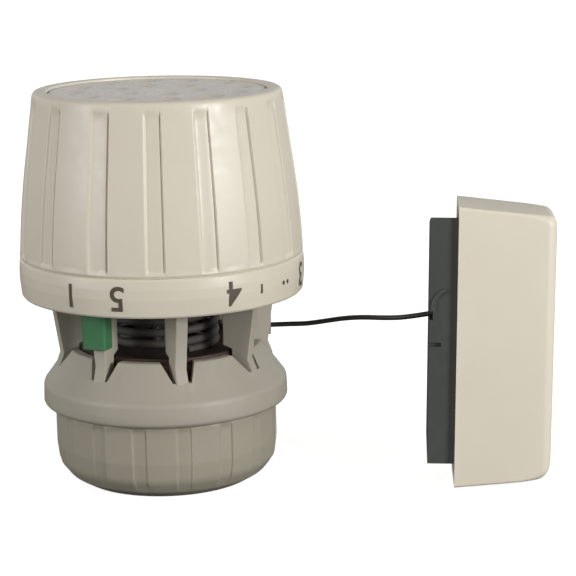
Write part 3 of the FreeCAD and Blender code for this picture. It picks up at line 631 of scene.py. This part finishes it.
CAPILLARY_RADIUS = 0.52
CAPILLARY_ROUTE = [
    (22.0, 7.6, 29.57), (25.6, 7.3, 29.75), (29.4, 5.6, 30.15), (33.2, 2.7, 31.3),
    (36.9, -0.8, 32.65), (41.0, -4.6, 33.75), (45.6, -8.6, 34.4), (50.2, -11.3, 35.1),
    (55.2, -12.0, 36.1),
]


def capillary():
    """The free capillary: one smooth line through the same route as the part's tube."""
    line = bpy.data.curves.new("capillary_line", "CURVE")
    line.dimensions = "3D"
    spline = line.splines.new("NURBS")
    spline.points.add(len(CAPILLARY_ROUTE) - 1)
    for point, (x, y, z) in zip(spline.points, CAPILLARY_ROUTE):
        point.co = (x * MM, y * MM, z * MM, 1)
    spline.order_u = 3
    spline.use_endpoint_u = True
    spline.resolution_u = 16
    line.bevel_depth = CAPILLARY_RADIUS * MM
    line.bevel_resolution = 5
    line.use_fill_caps = True
    line.materials.append(MATERIALS["capillary"])
    thing = bpy.data.objects.new("capillary_line", line)
    bpy.context.scene.collection.objects.link(thing)
    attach(thing, "frame")
    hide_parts("capillary_free")


# ---- assembly ---------------------------------------------------------------------------------

capillary()
dial_cap()
scale_ring()
top_disc()
scale_marks()
union_nut()
softened("cage_base", 0.12, "frame", "cage_plastic")
softened("cage_struts", 0.22, "frame", "cage_plastic")
softened("limiter_clip_green", 0.3, "limiter_green", "green_plastic")
softened("limiter_clip_red", 0.3, "limiter_red", "red_plastic")
softened("capillary_gland", 0.15, "frame", "cage_plastic")
softened("sensor_wall_plate", 0.3, "frame", "plate_plastic")
spring()
sensor_cover()
winding()
cable_guide()

CAD_LOOKS = {
    "nut_snap_ring": "spring_steel", "cage_top_ring": "cage_plastic",
    "dial_circlip": "spring_steel", "pin_guide_bush": "brass", "bellows_can": "can",
    "bellows_lid": "lid", "bellows": "brass", "bellows_end_plate": "steel", "spindle": "steel",
    "pressure_foot": "dark_plastic", "setting_nut": "dark_plastic", "dial_web": "dial_plastic",
    "drive_sleeve": "dial_plastic", "capillary_lead": "capillary",
    "capillary_inlet": "capillary", "sensor_bulb": "copper_alloy", "bulb_clips": "plate_plastic",
    "bulb_lead": "capillary",
}
for node, look in CAD_LOOKS.items():
    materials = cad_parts[node].data.materials
    materials.clear()
    materials.append(MATERIALS[look])


# ---- floor and light --------------------------------------------------------------------------

FLOOR_REACH = 6                                 # metres each way
LIGHT_TARGET = Vector((0.02, -0.005, 0.04))     # metres: the middle of the object


def floor():
    """Pale light table: it glows a little and throws no bounce light back on the object."""
    material, tree, shader, where = new_material("pale_floor")
    tone = mixed(tree, spread(tree, noise(tree, where, 3), 0, 1), linear((240, 240, 239)),
                 linear((243, 243, 242)))
    link(tree, tone, shader.inputs["Base Color"])
    shader.inputs["Roughness"].default_value = 0.9
    shader.inputs["Emission Color"].default_value = (1, 1, 0.99, 1)
    shader.inputs["Emission Strength"].default_value = 0.76
    mesh = bpy.data.meshes.new("floor")
    corners = [(x * FLOOR_REACH, y * FLOOR_REACH, 0)
               for x, y in ((-1, -1), (1, -1), (1, 1), (-1, 1))]
    mesh.from_pydata(corners, [], [[0, 1, 2, 3]])
    mesh.materials.append(material)
    plane = bpy.data.objects.new("floor", mesh)
    plane.visible_diffuse = plane.visible_glossy = False
    bpy.context.scene.collection.objects.link(plane)


def soft_light(name, azimuth, elevation, distance, size, power):
    """Square soft box aimed at the middle of the object."""
    data = bpy.data.lights.new(name, "AREA")
    data.shape, data.size, data.energy = "SQUARE", size, power
    lamp = bpy.data.objects.new(name, data)
    away = Vector(at(azimuth, cos(radians(elevation)), sin(radians(elevation))))
    lamp.location = LIGHT_TARGET + away * distance
    lamp.rotation_mode = "QUATERNION"
    lamp.rotation_quaternion = away.to_track_quat("Z", "Y")
    bpy.context.scene.collection.objects.link(lamp)


def studio():
    """Soft surround: brightest at eye level, dimmer overhead, dark below the table."""
    world = bpy.data.worlds.new("studio")
    world.use_nodes = True
    tree = world.node_tree
    split = tree.nodes.new("ShaderNodeSeparateXYZ")
    link(tree, tree.nodes.new("ShaderNodeTexCoord").outputs["Generated"], split.inputs[0])
    ramp = tree.nodes.new("ShaderNodeValToRGB")
    link(tree, spread(tree, split.outputs["Z"], 0, 1, -1, 1), ramp.inputs["Fac"])
    ramp.color_ramp.elements[0].color = (0.03, 0.03, 0.03, 1)
    ramp.color_ramp.elements[0].position = 0.42
    ramp.color_ramp.elements[1].color = (0.05, 0.052, 0.055, 1)
    ramp.color_ramp.elements[1].position = 1
    ramp.color_ramp.elements.new(0.56).color = (0.82, 0.825, 0.83, 1)
    link(tree, ramp.outputs["Color"], tree.nodes["Background"].inputs["Color"])
    bpy.context.scene.world = world


floor()
soft_light("key", 52, 12, 1.0, 0.3, 7.2)
soft_light("fill", -62, 12, 1.1, 0.5, 4.4)
studio()
bpy.context.scene.view_settings.view_transform = "Standard"
